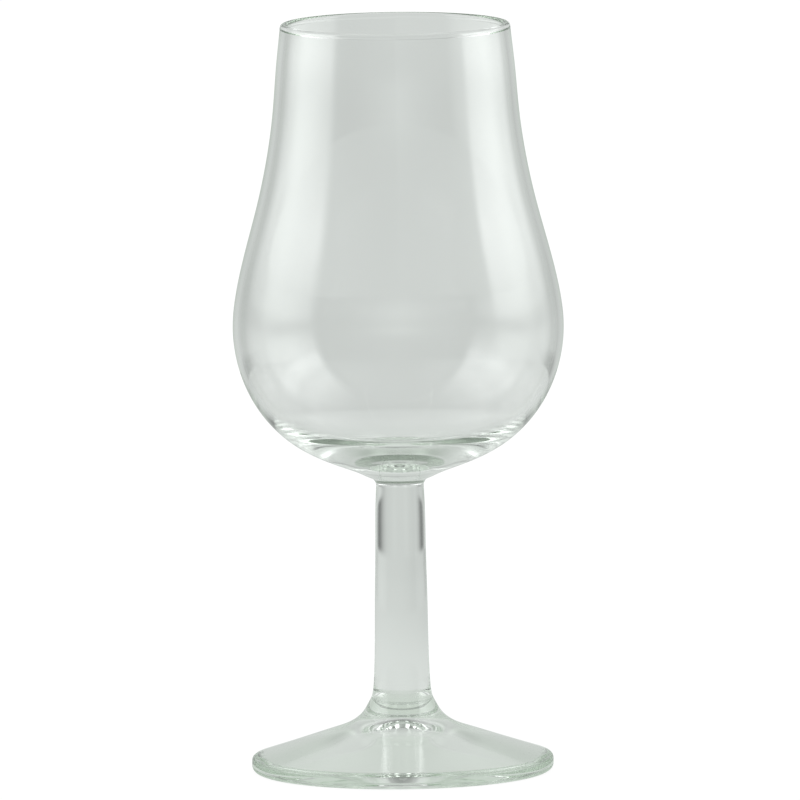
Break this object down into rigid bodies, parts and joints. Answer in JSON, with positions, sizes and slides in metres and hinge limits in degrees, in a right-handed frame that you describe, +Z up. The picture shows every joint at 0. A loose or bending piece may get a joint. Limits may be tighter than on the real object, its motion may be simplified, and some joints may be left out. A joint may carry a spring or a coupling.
{
  "type": "nosing glass",
  "caption": "Stemmed tulip-shaped glass for nosing and drinking whisky, with a wide belly, narrow mouth, slim stem and round foot.",
  "frame": {"origin": "on the table, under the middle of the foot", "axes": "+Z up along the glass's axis; X and Y are alike, because the glass is round"},
  "size_m": [0.0598, 0.0598, 0.136],
  "materials": {
    "clear_glass": "polished clear soda-lime glass, faintly green in the thick places"
  },
  "bodies": {
    "root": {"bowl": "clear_glass", "stem": "clear_glass", "foot": "clear_glass"}
  },
  "joints": []
}
